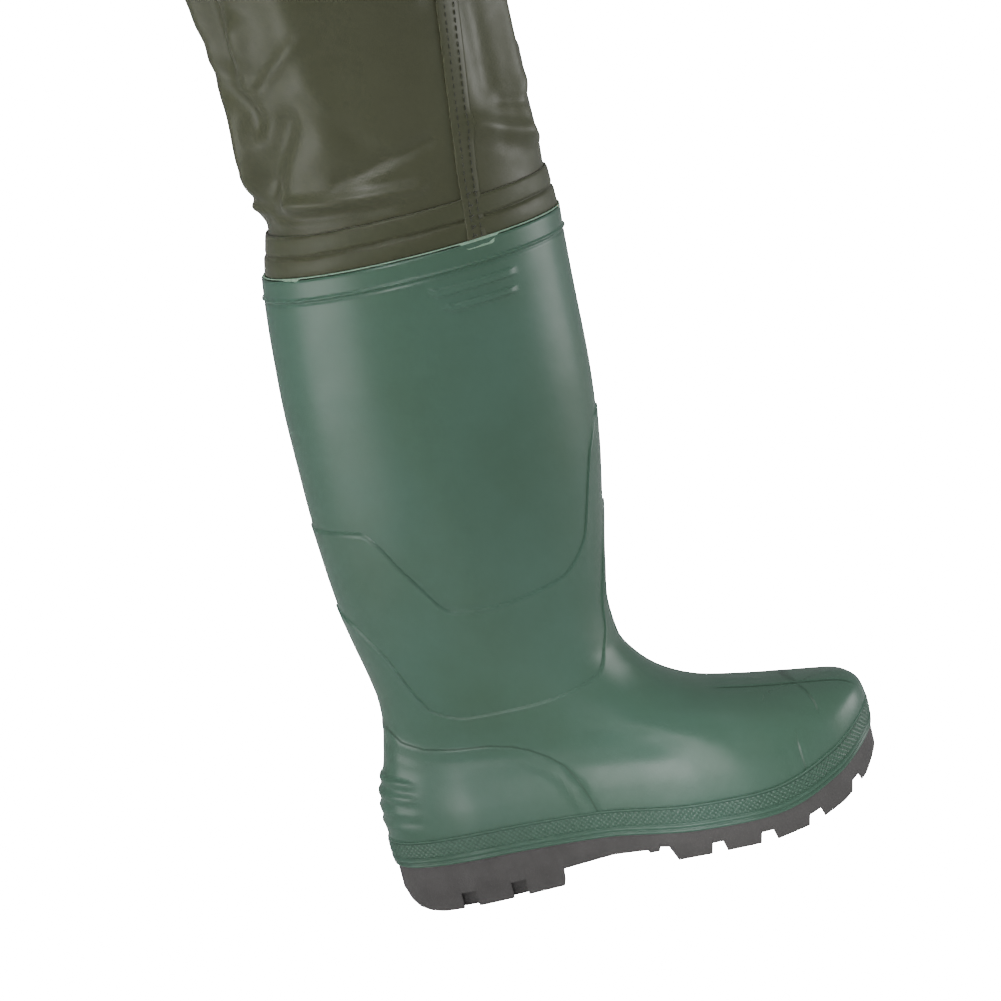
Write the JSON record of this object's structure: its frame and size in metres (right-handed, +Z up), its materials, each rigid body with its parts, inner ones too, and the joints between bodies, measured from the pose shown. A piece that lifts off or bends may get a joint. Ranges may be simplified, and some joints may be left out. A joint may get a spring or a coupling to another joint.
{
  "type": "chest waders",
  "caption": "Chest-high waders with moulded boots welded to coated-fabric legs, a bib with a flap pocket, and braces with side-release buckles.",
  "frame": {"origin": "midway between the undersides of the two braces, where they bear on the wearer's shoulders, 1.5 m above the soles", "axes": "+Z up, -Y the way the toes point, +X the wearer's left"},
  "size_m": [0.456, 0.3645, 1.5018],
  "materials": {
    "coated_fabric": "smooth PVC coating over woven nylon, semi-gloss",
    "boot_pvc": "moulded PVC, semi-gloss",
    "sole_pvc": "moulded PVC, matt",
    "boot_knit": "knitted lining",
    "insole_felt": "pressed felt",
    "hem_tape": "welded binding tape",
    "brace_webbing": "elastic woven webbing",
    "brace_patch": "stitched patch",
    "buckle_plastic": "moulded acetal",
    "hook_tape": "hook and loop tape"
  },
  "bodies": {
    "trunk": {"bib_front": "coated_fabric", "bib_back": "coated_fabric", "top_hem": "hem_tape", "right_side_seam": "coated_fabric", "left_side_seam": "coated_fabric", "crotch_patch": "coated_fabric", "pocket_panel": "coated_fabric", "pocket_gusset": "coated_fabric", "flap_hinge_tape": "hem_tape", "pocket_loop_tape": "hook_tape", "right_brace": "brace_webbing", "left_brace": "brace_webbing", "brace_cross_patch": "brace_patch", "right_back_anchor": "coated_fabric", "left_back_anchor": "coated_fabric", "right_brace_tab": "brace_webbing", "left_brace_tab": "brace_webbing", "right_brace_socket": "buckle_plastic", "left_brace_socket": "buckle_plastic"},
    "flap": {"pocket_flap": "coated_fabric", "pocket_hook_tape": "hook_tape"},
    "right_plug": {"right_brace_plug": "buckle_plastic", "right_brace_loop": "brace_webbing"},
    "right_outer_arm": {"right_plug_outer_arm": "buckle_plastic"},
    "right_inner_arm": {"right_plug_inner_arm": "buckle_plastic"},
    "right_slider": {"right_adjuster": "buckle_plastic"},
    "right_upper_leg": {"right_hip_fabric": "coated_fabric", "right_thigh_fabric": "coated_fabric"},
    "right_lower_leg": {"right_knee_fabric": "coated_fabric", "right_shin_fabric": "coated_fabric", "right_cuff_band": "coated_fabric", "right_boot_upper": "boot_pvc", "right_outsole": "sole_pvc", "right_boot_lining": "boot_knit", "right_insole": "insole_felt"},
    "left_plug": {"left_brace_plug": "buckle_plastic", "left_brace_loop": "brace_webbing"},
    "left_outer_arm": {"left_plug_outer_arm": "buckle_plastic"},
    "left_inner_arm": {"left_plug_inner_arm": "buckle_plastic"},
    "left_slider": {"left_adjuster": "buckle_plastic"},
    "left_upper_leg": {"left_hip_fabric": "coated_fabric", "left_thigh_fabric": "coated_fabric"},
    "left_lower_leg": {"left_knee_fabric": "coated_fabric", "left_shin_fabric": "coated_fabric", "left_cuff_band": "coated_fabric", "left_boot_upper": "boot_pvc", "left_outsole": "sole_pvc", "left_boot_lining": "boot_knit", "left_insole": "insole_felt"}
  },
  "joints": [
    {"name": "pocket_flap_lift", "type": "hinge", "parent": "trunk", "child": "flap", "pos_m": [0, -0.1532, -0.249], "axis": [-1, 0, 0], "range_deg": [0, 120]},
    {"name": "right_hip_swing", "type": "hinge", "parent": "trunk", "child": "right_upper_leg", "pos_m": [-0.119, 0, -0.64], "axis": [-1, 0, 0], "range_deg": [-15, 50], "deforming": ["right_hip_fabric"]},
    {"name": "right_knee_bend", "type": "hinge", "parent": "right_upper_leg", "child": "right_lower_leg", "pos_m": [-0.128, -0.035, -1], "axis": [1, 0, 0], "range_deg": [0, 70], "deforming": ["right_knee_fabric"]},
    {"name": "right_buckle_release", "type": "slide", "parent": "trunk", "child": "right_plug", "axis": [0, 0, 1], "range_m": [0, 0.03]},
    {"name": "right_slider_travel", "type": "slide", "parent": "right_plug", "child": "right_slider", "axis": [0, 0, 1], "range_m": [-0.01, 0.008]},
    {"name": "right_outer_arm_squeeze", "type": "hinge", "parent": "right_plug", "child": "right_outer_arm", "pos_m": [-0.11186, -0.13409, -0.166], "axis": [-0.3007, -0.9537, 0], "range_deg": [0, 8], "stiffness_Nm_per_rad": 1},
    {"name": "right_inner_arm_squeeze", "type": "hinge", "parent": "right_plug", "child": "right_inner_arm", "pos_m": [-0.08134, -0.14371, -0.166], "axis": [0.3007, 0.9537, 0], "range_deg": [0, 8], "stiffness_Nm_per_rad": 1},
    {"name": "left_hip_swing", "type": "hinge", "parent": "trunk", "child": "left_upper_leg", "pos_m": [0.119, 0, -0.64], "axis": [-1, 0, 0], "range_deg": [-15, 50], "deforming": ["left_hip_fabric"]},
    {"name": "left_knee_bend", "type": "hinge", "parent": "left_upper_leg", "child": "left_lower_leg", "pos_m": [0.128, -0.035, -1], "axis": [1, 0, 0], "range_deg": [0, 70], "deforming": ["left_knee_fabric"]},
    {"name": "left_buckle_release", "type": "slide", "parent": "trunk", "child": "left_plug", "axis": [0, 0, 1], "range_m": [0, 0.03]},
    {"name": "left_slider_travel", "type": "slide", "parent": "left_plug", "child": "left_slider", "axis": [0, 0, 1], "range_m": [-0.01, 0.008]},
    {"name": "left_outer_arm_squeeze", "type": "hinge", "parent": "left_plug", "child": "left_outer_arm", "pos_m": [0.11186, -0.13409, -0.166], "axis": [-0.3007, 0.9537, 0], "range_deg": [0, 8], "stiffness_Nm_per_rad": 1},
    {"name": "left_inner_arm_squeeze", "type": "hinge", "parent": "left_plug", "child": "left_inner_arm", "pos_m": [0.08134, -0.14371, -0.166], "axis": [0.3007, -0.9537, 0], "range_deg": [0, 8], "stiffness_Nm_per_rad": 1}
  ],
  "couplings": [
    {"joint": "right_inner_arm_squeeze", "follows": "right_outer_arm_squeeze", "ratio": 1},
    {"joint": "left_inner_arm_squeeze", "follows": "left_outer_arm_squeeze", "ratio": 1}
  ]
}
